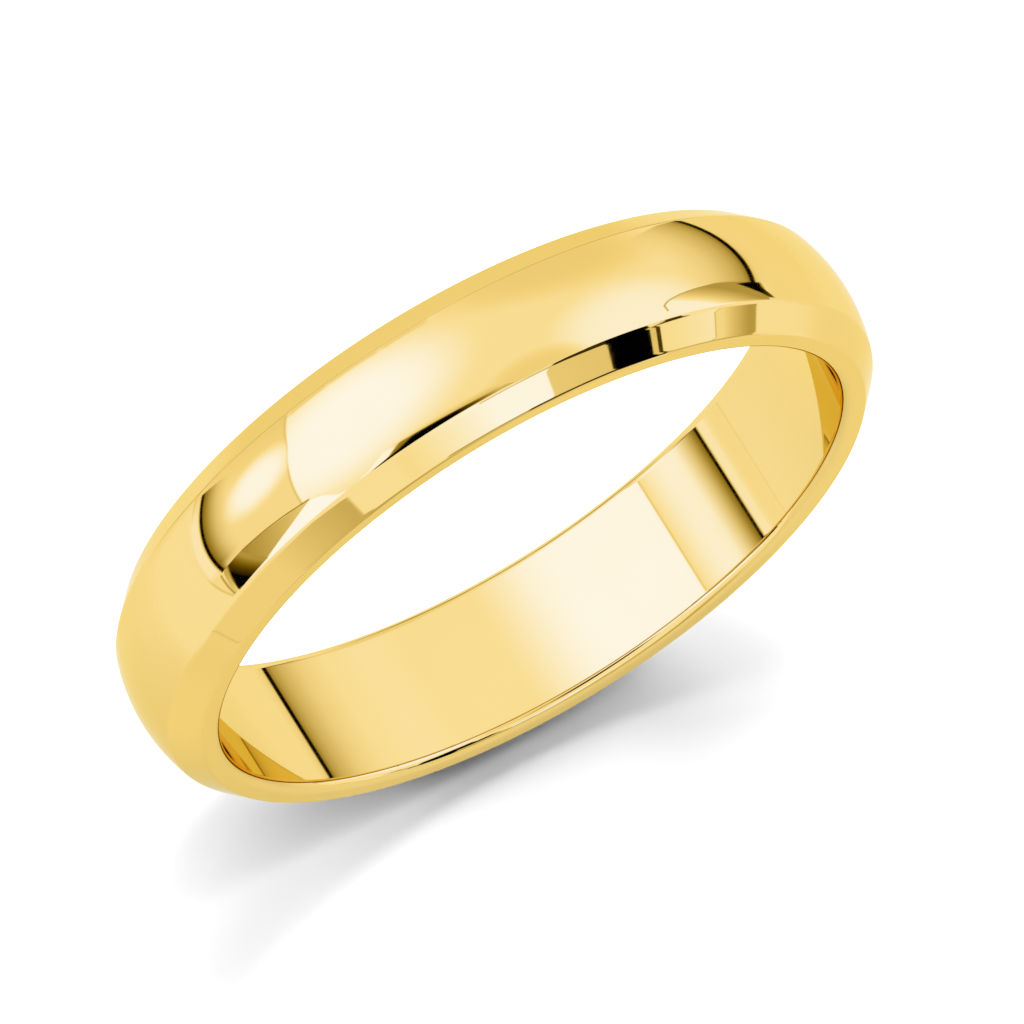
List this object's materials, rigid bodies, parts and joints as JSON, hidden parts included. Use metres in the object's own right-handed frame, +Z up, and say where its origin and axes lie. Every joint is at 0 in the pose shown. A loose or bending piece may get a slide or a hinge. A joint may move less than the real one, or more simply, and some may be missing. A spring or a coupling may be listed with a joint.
{
  "type": "wedding band",
  "caption": "Plain polished yellow gold wedding band with a low domed crown, bevelled shoulders, narrow flat sides and a rounded inner edge, standing on its rim.",
  "frame": {"origin": "centre of the finger hole, midway between the two side faces", "axes": "+Z up with the band standing on its rim; Y along the finger hole's axis; X across the hole"},
  "size_m": [0.0206, 0.004, 0.0206],
  "materials": {
    "yellow_gold": "mirror polished 14 carat yellow gold"
  },
  "bodies": {
    "root": {"band": "yellow_gold"}
  },
  "joints": []
}
